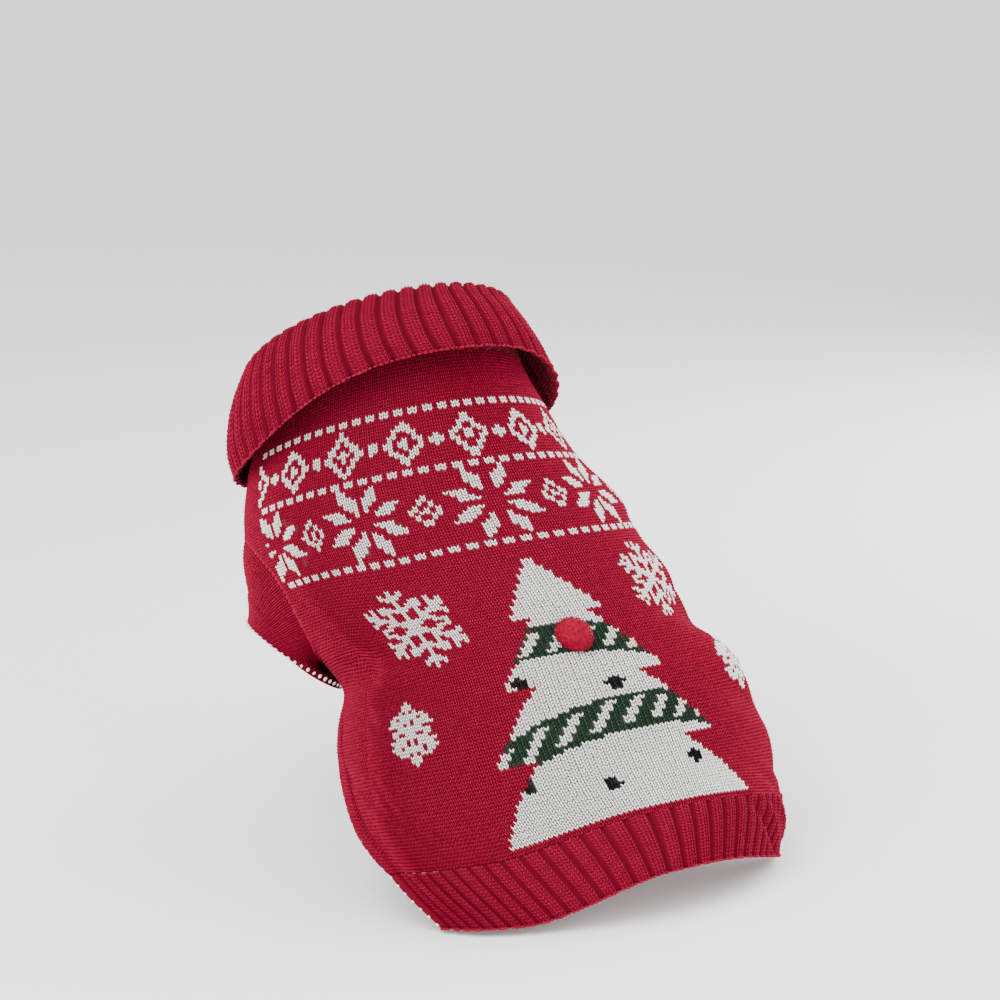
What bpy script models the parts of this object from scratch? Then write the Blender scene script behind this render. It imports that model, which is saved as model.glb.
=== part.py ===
"""A knitted roll-neck sweater for a dog, hollow and open as it hangs on a seated wearer.

Metres, +Z up. The wearer faces +Y and its left side is at -X. The origin is the middle of the neck opening.
"""
import math

import bmesh
import bpy
from mathutils import Vector

CM = 0.01

# The cloth
WALL = 0.0028  # thickness of the knitted cloth
SEAM = 0.0004  # gap between two sewn pieces
RIB_RISE = 0.0015  # how far a rib stands out of the band's plain face
EDGE_RISE = 0.0009  # extra thickness where an edge is turned under

# Sections of the body from the neck seam to the end of the hem, in centimetres. A section is a ring in the
# plane through its back point and its front point; widest is the share of the way from back to front where it
# is widest.
# station, sway, back_y, back_z, front_y, front_z, half_width, widest, squareness
BODY = (
    (0.00, 0.0, -7.30, 0.0, 5.00, -7.7, 9.0, 0.50, 2.0),
    (0.10, 0.0, -9.00, -3.3, 6.20, -10.6, 10.1, 0.47, 2.1),
    (0.24, 0.0, -11.90, -7.5, 5.00, -14.6, 11.6, 0.42, 2.2),
    (0.39, 0.0, -15.90, -11.4, 0.60, -18.0, 12.3, 0.36, 2.2),
    (0.54, -0.1, -20.50, -14.9, -6.40, -20.7, 12.0, 0.31, 2.2),
    (0.69, -0.8, -25.00, -18.6, -10.00, -24.2, 13.4, 0.30, 2.2),
    (0.82, -1.4, -28.50, -22.6, -12.60, -27.4, 14.1, 0.33, 2.2),
    (0.91, -1.5, -30.60, -25.6, -14.60, -29.2, 13.8, 0.36, 2.2),
    (1.00, -1.4, -32.00, -28.8, -16.15, -30.4, 12.6, 0.40, 2.1),
)
# Angle from the middle of the back to the edge of the back panel, in degrees
# station, angle
BACK_EDGE = (
    (0.00, 124),
    (0.48, 124),
    (0.60, 117),
    (0.72, 111),
    (0.82, 101),
    (0.92, 86),
    (1.00, 75),
)
BELLY_END = 0.62  # station where the belly panel ends
RIB_TOP = 0.895  # station where the hem band begins
STATION_GAP = 0.0013  # seam gap between panel and hem band, as a share of the body
# Rows and columns of points in the panels
ROWS_BEFORE_HOLE = 5
ROWS_BEHIND_HOLE = 3
ROWS_TO_HEM = 6
BELLY_COLUMNS = 14
# The hem rides up over the rump: by this much in centimetres, from this station on, and by this share of it
# towards the rear. The rise fades in and out between two pairs of angles.
TAIL_LIFT = 2.1
TAIL_LIFT_TOP = 0.72
TAIL_LIFT_REARWARDS = 0.35
TAIL_LIFT_LEFT = (-42, 2)
TAIL_LIFT_RIGHT = (8, 75)

# The leg holes and the rims of the sleeves
HOLE_STATION = 0.36
HOLE_HALF = 0.14
HOLE_BACK_ANGLE = 95
HOLE_BELLY_ANGLE = 148
HOLE_STEPS = 12
RIM_CENTRE = (-9.5, -4.5, -18.8)
RIM_LONG = (-2.0, -5.8, 0.2)  # from the centre to the rim's rear end
RIM_WIDE = (-3.0, 0.3, 2.0)  # from the centre to the rim's outer side
SLEEVE_BULGE = 0.12  # how far a sleeve's wall bows out, as a share of the way from hole to rim
SLEEVE_STEP = 0.05  # small step for the directions of its wall, as a share of the way from hole to rim
# share of the way from hole to rim, extra thickness (1 in the turned edge)
SLEEVE_ROWS = ((0.0, 0), (0.1, 0), (0.25, 0), (0.42, 0), (0.58, 0), (0.64, 1), (0.82, 1), (1.0, 1))

# The collar, one ribbed tube folded over. The middle of its cloth is given in the plane of the neck opening:
# how far out from the middle of the neck and how far up, at the back and at the front, in centimetres.
NECK_TILT = 55
SIDE_DROP_POWER = 4  # side_drop lets the fall hang lower at the sides; the power keeps it there
# station, sway, back_out, back_up, front_out, front_up, half_width, widest, squareness, side_drop
COLLAR = (
    (0.00, 0.0, 5.84, -4.15, 8.36, -3.40, 8.86, 0.50, 2.0, 0.0),
    (0.22, 0.0, 6.40, -2.30, 7.50, -2.10, 8.45, 0.50, 2.0, 0.0),
    (0.37, 0.0, 6.50, -0.90, 6.70, -0.90, 8.15, 0.50, 2.0, 0.0),
    (0.42, 0.0, 6.68, -0.48, 6.82, -0.48, 8.32, 0.50, 2.0, 0.0),
    (0.47, -0.1, 7.10, -0.30, 7.20, -0.30, 8.65, 0.50, 2.0, 0.0),
    (0.52, -0.4, 7.52, -0.48, 7.65, -0.48, 9.05, 0.50, 2.0, 0.0),
    (0.57, -0.65, 7.75, -0.90, 8.00, -0.90, 9.30, 0.49, 2.0, 0.1),
    (0.71, -0.95, 8.20, -2.20, 9.40, -2.00, 9.90, 0.47, 2.1, 0.5),
    (0.86, -0.80, 8.20, -3.70, 11.20, -3.60, 10.55, 0.45, 2.1, 1.1),
    (1.00, -0.30, 7.75, -4.85, 12.30, -5.10, 10.90, 0.44, 2.0, 1.5),
)
COLLAR_RIBS = 46
COLLAR_RIB_ROWS = (0.0, 0.22, 0.38, 0.425, 0.47, 0.515, 0.57, 0.71, 0.86, 1.0)
COLLAR_PLAIN_ROWS = (0.0, 0.3, 0.44, 0.5, 0.75, 1.0)

# Ribs: four columns of points to a rib, as shares of the rib's height
RIB_PROFILE = (0, 1, 1, 0)
HEM_RIBS = 30
HEM_BAND = 0.93  # share of the back panel's half width that the hem ribs reach
TURN_STEP = 0.945  # share from which on the free side edge is turned under
TURN_FADE = (-0.03, 0.02)  # stations before and after the belly's end over which that begins
# share of the band from its seam to its end, share of the rib's height
HEM_ROWS = ((0.0, 1), (0.45, 1), (0.92, 1), (1.0, 0.5))

# The largest folds of the worn cloth. Heading 0 runs along the back and 90 runs round the body.
# A ridge has a depth above 0. Degrees and centimetres.
# station, angle, heading, half_length, half_width, depth
BODY_LENGTH = 37.0  # from station 0 to station 1 along the sides
ROUND_PER_DEGREE = 0.215  # round the body
FOLDS_BEGIN = 0.07  # station by which the folds have their full depth
FOLDS = (
    (0.42, -53, -61, 6.0, 1.7, -0.50),
    (0.54, -88, 98, 7.0, 1.2, -0.85),
    (0.60, -72, 75, 4.5, 1.7, -0.30),
    (0.70, -114, 75, 4.5, 2.4, 0.25),
    (0.10, 72, 85, 4.0, 2.5, 0.25),
    (0.30, 76, 84, 5.5, 2.6, 0.85),
    (0.45, 72, 80, 5.5, 1.9, 0.40),
    (0.56, 68, 78, 5.0, 1.2, -0.40),
    (0.66, 74, 82, 5.0, 2.4, 0.60),
    (0.73, 62, 72, 4.0, 1.3, -0.25),
    (0.79, 80, 76, 4.5, 1.8, 0.40),
    (0.86, -86, 40, 6.5, 0.9, -0.25),
    (0.30, 158, 90, 6.0, 1.6, -0.40),
    (0.50, 180, 88, 7.0, 1.8, -0.45),
)

# Small steps for the directions of a form
STATION_STEP = 0.002
ANGLE_STEP = 0.4

# The pompom sewn on the middle of the back
POMPOM_STATION = 0.565
POMPOM_ANGLE = 0.0
POMPOM_RADIUS = 0.0112
POMPOM_HEIGHT = 0.0105
POMPOM_CUT = 0.35  # share of the ball's radius that is left below its middle


def smooth(low, high, value):
    """Soft step from 0 at low to 1 at high."""
    share = min(max((value - low) / (high - low), 0.0), 1.0)
    return share * share * (3 - 2 * share)


def read(table, station):
    """The columns of a table at a station, on a smooth curve through its rows."""
    row = 0
    while row < len(table) - 2 and station > table[row + 1][0]:
        row += 1
    here, there = table[row], table[row + 1]
    before, after = table[max(row - 1, 0)], table[min(row + 2, len(table) - 1)]
    span = there[0] - here[0]
    t = (station - here[0]) / span
    values = []
    for column in range(1, len(here)):
        slope_here = (there[column] - before[column]) / (there[0] - before[0]) * span
        slope_there = (after[column] - here[column]) / (after[0] - here[0]) * span
        values.append(
            (2 * t**3 - 3 * t**2 + 1) * here[column]
            + (t**3 - 2 * t**2 + t) * slope_here
            + (3 * t**2 - 2 * t**3) * there[column]
            + (t**3 - t**2) * slope_there
        )
    return values


def on_ring(back, front, sway, half_width, widest, squareness, angle):
    """Point of a section, in metres, at an angle from its back point, going to the wearer's right."""
    middle = back.lerp(front, widest)
    power = 2 / squareness
    turn = math.radians(angle)
    along = math.copysign(abs(math.cos(turn)) ** power, math.cos(turn))
    across = math.copysign(abs(math.sin(turn)) ** power, math.sin(turn))
    end = back if along > 0 else front
    return (middle + (end - middle) * abs(along) + Vector((sway + half_width * across, 0, 0))) * CM


def body_form(station, angle):
    """The body's outer form without its folds."""
    sway, back_y, back_z, front_y, front_z, *ring = read(BODY, station)
    back = Vector((0, back_y, back_z))
    front = Vector((0, front_y, front_z))
    point = on_ring(back, front, sway, *ring, angle)
    side = (angle + 180) % 360 - 180
    across = smooth(*TAIL_LIFT_LEFT, side) * (1 - smooth(*TAIL_LIFT_RIGHT, side))
    lift = TAIL_LIFT * CM * across * smooth(TAIL_LIFT_TOP, 1.0, station)
    return point + Vector((0, -TAIL_LIFT_REARWARDS * lift, lift))


def collar_form(station, angle):
    """The middle of the collar's cloth."""
    sway, back_out, back_up, front_out, front_up, *ring, side_drop = read(COLLAR, station)
    tilt = math.radians(NECK_TILT)
    forward = Vector((0, math.sin(tilt), -math.cos(tilt)))
    up = Vector((0, math.cos(tilt), math.sin(tilt)))
    back = up * back_up - forward * back_out
    front = up * front_up + forward * front_out
    drop = side_drop * CM * math.sin(math.radians(angle)) ** SIDE_DROP_POWER
    return on_ring(back, front, sway, *ring, angle) - up * drop


def facing(form, station, angle):
    """Unit normal of a form, outwards on the body and on the collar's outer layer."""
    low = max(station - STATION_STEP, 0.0)
    high = min(station + STATION_STEP, 1.0)
    down = form(high, angle) - form(low, angle)
    around = form(station, angle + ANGLE_STEP) - form(station, angle - ANGLE_STEP)
    return down.cross(around).normalized()


def fold(station, angle):
    """Height of the folds above the plain form, in metres."""
    height = 0.0
    for fold_station, fold_angle, heading, half_length, half_width, depth in FOLDS:
        down = (station - fold_station) * BODY_LENGTH
        across = ((angle - fold_angle + 180) % 360 - 180) * ROUND_PER_DEGREE
        turn = math.radians(heading)
        run = down * math.cos(turn) + across * math.sin(turn)
        off = across * math.cos(turn) - down * math.sin(turn)
        height += depth * math.exp(-((run / half_length) ** 2) - (off / half_width) ** 2)
    return height * CM * smooth(0.0, FOLDS_BEGIN, station)


def skin(station, angle):
    """The body's outer face with its folds."""
    return body_form(station, angle) + facing(body_form, station, angle) * fold(station, angle)


def neck_plane():
    """Up direction square to the plane of the neck seam."""
    across = body_form(0, 90) - body_form(0, 270)
    along = body_form(0, 180) - body_form(0, 0)
    return across.cross(along).normalized()


def inwards(station, angle):
    """From the outer face of the body's cloth to its inner face."""
    if station > 0:
        return facing(skin, station, angle) * -WALL
    around = body_form(0, angle + ANGLE_STEP) - body_form(0, angle - ANGLE_STEP)
    return neck_plane().cross(around).normalized() * WALL


def dyed(name, red, green, blue, roughness):
    """Cloth material of an sRGB colour from 0 to 255."""
    material = bpy.data.materials.new(name)
    material.use_nodes = True
    shader = material.node_tree.nodes["Principled BSDF"]
    linear = [((c / 255 + 0.055) / 1.055) ** 2.4 for c in (red, green, blue)]
    shader.inputs["Base Color"].default_value = (*linear, 1)
    shader.inputs["Roughness"].default_value = roughness
    shader.inputs["Metallic"].default_value = 0.0
    return material


def add_object(name, mesh, material):
    """A named object from an edit mesh, faces outwards and shaded smooth but for its sharp edges."""
    bmesh.ops.recalc_face_normals(mesh, faces=mesh.faces)
    data = bpy.data.meshes.new(name)
    mesh.to_mesh(data)
    mesh.free()
    data.materials.append(material)
    data.shade_smooth()
    data.set_sharp_from_angle(angle=math.radians(50))
    piece = bpy.data.objects.new(name, data)
    bpy.context.scene.collection.objects.link(piece)
    return piece


def cloth_wall(name, outer, inner, material, tube=False):
    """Closed cloth between rows of points on its two faces, a strip or a tube."""
    mesh = bmesh.new()
    rows = [[mesh.verts.new(point) for point in row] for row in outer + inner[::-1]]
    columns = len(rows[0])
    for here, there in zip(rows, rows[1:] + rows[:1]):
        for left in range(columns if tube else columns - 1):
            right = (left + 1) % columns
            mesh.faces.new((here[left], here[right], there[right], there[left]))
    for side in () if tube else (0, columns - 1):
        for row in range(len(outer) - 1):
            mesh.faces.new(
                (rows[row][side], rows[row + 1][side], rows[-2 - row][side], rows[-1 - row][side])
            )
    return add_object(name, mesh, material)


def hole_bow(station):
    """How far a leg hole is open at a station, from 0 at its ends to 1."""
    share = (station - HOLE_STATION) / HOLE_HALF
    return math.sqrt(max(1 - share * share, 0.0))


def back_edge(station):
    """Angle of the back panel's edge, drawn in at the leg hole."""
    edge = read(BACK_EDGE, station)[0]
    return edge + (HOLE_BACK_ANGLE - edge) * hole_bow(station)


def belly_edge(station):
    """Angle of the belly panel's edge, drawn in at the leg hole."""
    edge = read(BACK_EDGE, station)[0]
    return edge + (HOLE_BELLY_ANGLE - edge) * hole_bow(station)


def hole_stations():
    """Stations of the rows that cross the leg holes, from front to rear."""
    return [HOLE_STATION - HOLE_HALF * math.cos(math.pi * k / HOLE_STEPS) for k in range(HOLE_STEPS + 1)]


def evenly(low, high, count):
    """Stations between low and high, both left out."""
    return [low + (high - low) * k / (count + 1) for k in range(1, count + 1)]


def seam_step(station, angle):
    """Half a seam gap along the ring, towards larger angles."""
    around = skin(station, angle + ANGLE_STEP) - skin(station, angle - ANGLE_STEP)
    return around.normalized() * SEAM / 2


def panel_columns():
    """Shares of the back panel's half width, from its left edge to its right edge."""
    ribs = [HEM_BAND * (2 * k / HEM_RIBS - 1) for k in range(HEM_RIBS + 1)]
    return [-1.0, -TURN_STEP] + ribs + [TURN_STEP, 1.0]


def back_angle(station, share):
    """Angle of a column of the back panel; the columns near a leg hole bend round it."""
    plain = read(BACK_EDGE, station)[0]
    return share * plain + (back_edge(station) - plain) * share**3


def turned_edge(station, share):
    """Rise of the back panel's free side edge, which is turned under below the belly panel."""
    if abs(share) < TURN_STEP:
        return 0.0
    return EDGE_RISE * smooth(BELLY_END + TURN_FADE[0], BELLY_END + TURN_FADE[1], station)


def chest_stations():
    """Stations of the rows that both panels share, from the neck to the belly's end."""
    rows = [0.0] + evenly(0, HOLE_STATION - HOLE_HALF, ROWS_BEFORE_HOLE) + hole_stations()
    return rows + evenly(HOLE_STATION + HOLE_HALF, BELLY_END, ROWS_BEHIND_HOLE) + [BELLY_END]


def build_back_panel(material):
    rows = chest_stations() + evenly(BELLY_END, RIB_TOP, ROWS_TO_HEM) + [RIB_TOP - STATION_GAP / 2]
    outer = []
    inner = []
    for station in rows:
        outer_row = []
        inner_row = []
        for share in panel_columns():
            angle = back_angle(station, share)
            point = skin(station, angle)
            if abs(share) == 1:
                point = point - seam_step(station, angle) * share
            wall = inwards(station, angle)
            outer_row.append(point - wall.normalized() * turned_edge(station, share))
            inner_row.append(point + wall)
        outer.append(outer_row)
        inner.append(inner_row)
    cloth_wall("back_panel", outer, inner, material)


def build_belly_panel(material):
    outer = []
    inner = []
    for station in chest_stations():
        outer_row = []
        inner_row = []
        for column in range(BELLY_COLUMNS + 1):
            share = 2 * column / BELLY_COLUMNS - 1
            angle = 180 + share * (180 - belly_edge(station))
            point = skin(station, angle)
            if abs(share) == 1:
                point = point - seam_step(station, angle) * share
            outer_row.append(point)
            inner_row.append(point + inwards(station, angle))
        outer.append(outer_row)
        inner.append(inner_row)
    cloth_wall("belly_panel", outer, inner, material)


def build_hem_rib(material):
    shares = panel_columns()
    outer = []
    inner = []
    for share_down, rib_share in HEM_ROWS:
        station = RIB_TOP + STATION_GAP / 2 + (1 - RIB_TOP - STATION_GAP / 2) * share_down
        faces = []
        for share in shares:
            angle = back_angle(station, share)
            point = skin(station, angle)
            if abs(share) == 1:
                point = point - seam_step(station, angle) * share
            faces.append((share, point, inwards(station, angle)))
        outer_row = []
        inner_row = []
        for (share, point, wall), (next_share, next_point, next_wall) in zip(faces, faces[1:]):
            ribbed = abs(share + next_share) / 2 < HEM_BAND
            for part, height in enumerate(RIB_PROFILE) if ribbed else ((0, 0),):
                between = part / len(RIB_PROFILE)
                here = point.lerp(next_point, between)
                here_wall = wall.lerp(next_wall, between)
                rise = RIB_RISE * height * rib_share if part else turned_edge(station, share)
                outer_row.append(here - here_wall.normalized() * rise)
                inner_row.append(here + here_wall)
        share, point, wall = faces[-1]
        outer_row.append(point - wall.normalized() * turned_edge(station, share))
        inner_row.append(point + wall)
        outer.append(outer_row)
        inner.append(inner_row)
    cloth_wall("hem_rib", outer, inner, material)


def build_collar(material):
    columns = COLLAR_RIBS * len(RIB_PROFILE)
    up = neck_plane()
    ribbed = []
    plain = []
    for rows, stations, side in ((ribbed, COLLAR_RIB_ROWS, 1), (plain, COLLAR_PLAIN_ROWS, -1)):
        for station in stations:
            row = []
            for column in range(columns):
                angle = 360 * column / columns
                rise = RIB_RISE * RIB_PROFILE[column % len(RIB_PROFILE)] if side > 0 else 0.0
                if station > 0:
                    offset = (WALL / 2 + rise) * side
                    point = collar_form(station, angle) + facing(collar_form, station, angle) * offset
                else:
                    wall = inwards(0, angle)
                    point = body_form(0, angle) + up * SEAM
                    if side > 0:
                        point = point + wall + wall.normalized() * rise
                row.append(point)
            rows.append(row)
    cloth_wall("collar", ribbed, plain, material, tube=True)


def build_sleeve(name, side, material):
    """Sleeve on the wearer's left (side -1) or right (side 1)."""
    flip = Vector((-side, 1, 1))
    centre = Vector(RIM_CENTRE) * flip * CM
    long_half = Vector(RIM_LONG) * flip * CM
    wide_half = Vector(RIM_WIDE) * flip * CM
    stations = hole_stations()
    loop = [(s, back_edge(s)) for s in stations[:-1]] + [(s, belly_edge(s)) for s in stations[:0:-1]]
    starts = []
    for station, angle in loop:
        starts.append((skin(station, angle * side), inwards(station, angle * side)))
    hole_middle = sum((point for point, wall in starts), Vector()) / len(starts)

    def face_at(step, share):
        start, wall = starts[step % len(loop)]
        begin = start + (hole_middle - start).normalized() * SEAM
        turn = 2 * math.pi * step / len(loop)
        rim = centre - long_half * math.cos(turn) + wide_half * math.sin(turn)
        bulge = SLEEVE_BULGE * (rim - begin).length * 4 * share * (1 - share) ** 2
        return begin.lerp(rim, share) - wall.normalized() * bulge

    outer = []
    inner = []
    for share, turned in SLEEVE_ROWS:
        outer_row = []
        inner_row = []
        for step in range(len(loop)):
            point = face_at(step, share)
            around = face_at(step + 1, share) - face_at(step - 1, share)
            low = max(share - SLEEVE_STEP, 0)
            down = face_at(step, min(share + SLEEVE_STEP, 1)) - face_at(step, low)
            outwards = around.cross(down).normalized() * side
            outer_row.append(point + outwards * EDGE_RISE * turned)
            inner_row.append(point - outwards * WALL)
        outer.append(outer_row)
        inner.append(inner_row)
    cloth_wall(name, outer, inner, material, tube=True)


def build_pompom(material):
    mesh = bmesh.new()
    bmesh.ops.create_icosphere(mesh, subdivisions=3, radius=1.0)
    below = bmesh.ops.bisect_plane(
        mesh,
        geom=mesh.verts[:] + mesh.edges[:] + mesh.faces[:],
        plane_co=(0, 0, -POMPOM_CUT),
        plane_no=(0, 0, -1),
        clear_outer=True,
    )
    rim = [edge for edge in below["geom_cut"] if isinstance(edge, bmesh.types.BMEdge)]
    bmesh.ops.contextual_create(mesh, geom=rim)
    outwards = facing(skin, POMPOM_STATION, POMPOM_ANGLE)
    seat = skin(POMPOM_STATION, POMPOM_ANGLE) + outwards * SEAM
    turn = outwards.to_track_quat("Z", "Y").to_matrix()
    size = Vector((POMPOM_RADIUS, POMPOM_RADIUS, POMPOM_HEIGHT / (1 + POMPOM_CUT)))
    for vert in mesh.verts:
        vert.co = seat + turn @ ((vert.co + Vector((0, 0, POMPOM_CUT))) * size)
    add_object("pompom", mesh, material)


def main():
    for old in list(bpy.data.objects):
        bpy.data.objects.remove(old)
    knit = dyed("red_knit", 165, 17, 40, 0.9)
    rib = dyed("red_rib", 158, 16, 38, 0.9)
    felt = dyed("red_felt", 178, 22, 40, 0.85)
    build_back_panel(knit)
    build_belly_panel(knit)
    build_hem_rib(rib)
    build_collar(rib)
    build_sleeve("sleeve_left", -1, knit)
    build_sleeve("sleeve_right", 1, knit)
    build_pompom(felt)


main()
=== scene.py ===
"""The looks of a knitted roll-neck sweater for a dog, hollow and open as it hangs on a seated wearer.

Metres, +Z up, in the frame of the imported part: the wearer faces +Y, its left side is at -X and the origin is
the middle of the neck opening. Each panel is a thin cloth with its stitches laid on it one by one.
"""
import math

import bmesh
import bpy
import numpy as np
from bpy.props import FloatProperty, FloatVectorProperty, PointerProperty
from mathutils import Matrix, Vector


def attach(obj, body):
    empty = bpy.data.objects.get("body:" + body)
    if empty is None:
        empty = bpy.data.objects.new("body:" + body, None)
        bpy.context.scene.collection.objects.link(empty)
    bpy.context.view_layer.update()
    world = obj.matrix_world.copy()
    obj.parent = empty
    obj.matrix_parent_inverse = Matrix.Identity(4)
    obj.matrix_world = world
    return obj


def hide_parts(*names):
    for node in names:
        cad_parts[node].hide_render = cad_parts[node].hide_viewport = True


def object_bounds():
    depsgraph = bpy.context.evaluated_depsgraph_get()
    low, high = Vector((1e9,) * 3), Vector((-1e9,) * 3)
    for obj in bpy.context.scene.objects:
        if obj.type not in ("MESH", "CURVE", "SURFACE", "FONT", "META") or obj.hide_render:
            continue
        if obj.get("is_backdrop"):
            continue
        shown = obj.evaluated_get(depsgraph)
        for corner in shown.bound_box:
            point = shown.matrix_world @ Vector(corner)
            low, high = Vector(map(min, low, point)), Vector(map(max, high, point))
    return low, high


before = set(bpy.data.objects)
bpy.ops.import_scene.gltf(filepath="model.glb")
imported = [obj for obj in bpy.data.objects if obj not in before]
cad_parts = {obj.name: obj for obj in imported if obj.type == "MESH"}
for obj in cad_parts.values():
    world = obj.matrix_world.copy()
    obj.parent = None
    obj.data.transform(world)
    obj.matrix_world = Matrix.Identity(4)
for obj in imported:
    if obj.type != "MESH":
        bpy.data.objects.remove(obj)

bl_info = {
    "name": "Knitted Dog Sweater",
    "version": (1, 0, 0),
    "blender": (4, 5, 0),
    "location": "View3D > Sidebar > Sweater",
    "description": "Knits the panels, collar, hem and sleeves of a dog sweater onto its packed form",
    "category": "Add Mesh",
}

CM = 0.01
MM = 0.001

# ---- The garment's form, as the part's source gives it: thin things in metres, places and lengths in
# centimetres, angles in degrees ----

WALL = 0.0028
EDGE_RISE = 0.0009  # rise of a turned edge, whose cloth lies double
SEAM = 0.0004  # gap between two pieces at a seam

# station, sway, back_y, back_z, front_y, front_z, half_width, widest, squareness
BODY = (
    (0.00, 0.0, -7.30, 0.0, 5.00, -7.7, 9.0, 0.50, 2.0),
    (0.10, 0.0, -9.00, -3.3, 6.20, -10.6, 10.1, 0.47, 2.1),
    (0.24, 0.0, -11.90, -7.5, 5.00, -14.6, 11.6, 0.42, 2.2),
    (0.39, 0.0, -15.90, -11.4, 0.60, -18.0, 12.3, 0.36, 2.2),
    (0.54, -0.1, -20.50, -14.9, -6.40, -20.7, 12.0, 0.31, 2.2),
    (0.69, -0.8, -25.00, -18.6, -10.00, -24.2, 13.4, 0.30, 2.2),
    (0.82, -1.4, -28.50, -22.6, -12.60, -27.4, 14.1, 0.33, 2.2),
    (0.91, -1.5, -30.60, -25.6, -14.60, -29.2, 13.8, 0.36, 2.2),
    (1.00, -1.4, -32.00, -28.8, -16.15, -30.4, 12.6, 0.40, 2.1),
)
# station, angle from the middle of the back to the edge of the back panel
BACK_EDGE = ((0.00, 124), (0.48, 124), (0.60, 117), (0.72, 111), (0.82, 101), (0.92, 86), (1.00, 75))
BELLY_END = 0.62
RIB_TOP = 0.895
HEM_TOP = RIB_TOP + 0.000325  # a hair's breadth below the back panel
TAIL_LIFT = 2.1
TAIL_LIFT_TOP = 0.72
TAIL_LIFT_REARWARDS = 0.35
TAIL_LIFT_LEFT = (-42, 2)
TAIL_LIFT_RIGHT = (8, 75)

HOLE_STATION = 0.36
HOLE_HALF = 0.14
HOLE_BACK_ANGLE = 95
HOLE_BELLY_ANGLE = 148
HOLE_STEPS = 12
RIM_CENTRE = (-9.5, -4.5, -18.8)
RIM_LONG = (-2.0, -5.8, 0.2)
RIM_WIDE = (-3.0, 0.3, 2.0)
SLEEVE_BULGE = 0.12
SLEEVE_STEP = 0.05
TURNED_HEM = (0.58, 0.64)

NECK_TILT = 55
SIDE_DROP_POWER = 4
# station, sway, back_out, back_up, front_out, front_up, half_width, widest, squareness, side_drop
COLLAR = (
    (0.00, 0.0, 5.84, -4.15, 8.36, -3.40, 8.86, 0.50, 2.0, 0.0),
    (0.22, 0.0, 6.40, -2.30, 7.50, -2.10, 8.45, 0.50, 2.0, 0.0),
    (0.37, 0.0, 6.50, -0.90, 6.70, -0.90, 8.15, 0.50, 2.0, 0.0),
    (0.42, 0.0, 6.68, -0.48, 6.82, -0.48, 8.32, 0.50, 2.0, 0.0),
    (0.47, -0.1, 7.10, -0.30, 7.20, -0.30, 8.65, 0.50, 2.0, 0.0),
    (0.52, -0.4, 7.52, -0.48, 7.65, -0.48, 9.05, 0.50, 2.0, 0.0),
    (0.57, -0.65, 7.75, -0.90, 8.00, -0.90, 9.30, 0.49, 2.0, 0.1),
    (0.71, -0.95, 8.20, -2.20, 9.40, -2.00, 9.90, 0.47, 2.1, 0.5),
    (0.86, -0.80, 8.20, -3.70, 11.20, -3.60, 10.55, 0.45, 2.1, 1.1),
    (1.00, -0.30, 7.75, -4.85, 12.30, -5.10, 10.90, 0.44, 2.0, 1.5),
)
COLLAR_RIBS = 46
HEM_RIBS = 30
HEM_BAND = 0.93
# The free side edges are turned under; places across the panel are shares of its half width
TURN_STEP = 0.945  # where the turned part begins
TURN_STEP_HALF = 0.006
TURN_FADE = (-0.03, 0.02)
TURN_GROOVE = 0.0008  # depth of the crease along the turned edge
TURN_GROOVE_PLACE = 0.933
TURN_GROOVE_WIDTH = 0.007

BODY_LENGTH = 37.0
ROUND_PER_DEGREE = 0.215
FOLDS_BEGIN = 0.07
# station, angle, heading, half_length, half_width, depth; heading 0 runs along the back, 90 round the body
FOLDS = (
    (0.42, -53, -61, 6.0, 1.7, -0.50),
    (0.54, -88, 98, 7.0, 1.2, -0.85),
    (0.60, -72, 75, 4.5, 1.7, -0.30),
    (0.70, -114, 75, 4.5, 2.4, 0.25),
    (0.10, 72, 85, 4.0, 2.5, 0.25),
    (0.30, 76, 84, 5.5, 2.6, 0.85),
    (0.45, 72, 80, 5.5, 1.9, 0.40),
    (0.56, 68, 78, 5.0, 1.2, -0.40),
    (0.66, 74, 82, 5.0, 2.4, 0.60),
    (0.73, 62, 72, 4.0, 1.3, -0.25),
    (0.79, 80, 76, 4.5, 1.8, 0.40),
    (0.86, -86, 40, 6.5, 0.9, -0.25),
    (0.30, 158, 90, 6.0, 1.6, -0.40),
    (0.50, 180, 88, 7.0, 1.8, -0.45),
)

# Finer creases of the worn cloth, in the same terms
SMALL_FOLDS = (
    (0.955, 44, 52, 3.2, 0.35, -0.22),
    (0.940, 52, 60, 3.6, 0.40, 0.20),
    (0.965, 60, 58, 3.0, 0.35, -0.24),
    (0.950, 68, 55, 2.8, 0.40, 0.18),
    (0.880, 58, 66, 4.0, 0.50, -0.16),
    (0.850, 70, 74, 3.5, 0.60, -0.16),
    (0.470, -64, -58, 4.5, 0.55, -0.14),
    (0.500, -70, -70, 4.0, 0.50, 0.12),
    (0.590, -60, 84, 5.0, 0.50, -0.14),
    (0.640, -86, 70, 4.0, 0.55, -0.12),
    (0.760, -92, 62, 4.5, 0.50, -0.14),
    (0.820, -70, 48, 4.5, 0.45, -0.12),
    (0.250, -80, -50, 3.5, 0.60, -0.12),
    (0.150, -55, 78, 4.5, 0.60, -0.12),
    (0.360, 84, 78, 4.0, 0.50, -0.20),
    (0.510, 78, 70, 4.0, 0.50, -0.18),
    (0.600, 84, 80, 3.5, 0.55, -0.16),
    (0.710, 86, 68, 4.0, 0.50, -0.18),
    (0.250, 150, 84, 4.0, 0.50, -0.14),
    (0.350, 205, 98, 4.5, 0.55, -0.14),
    (0.560, 165, 92, 4.5, 0.50, -0.12),
)

STATION_STEP = 0.002
ANGLE_STEP = 0.4

POMPOM_STATION = 0.565
POMPOM_CUT = 0.35

# ---- The knitting ----

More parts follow.
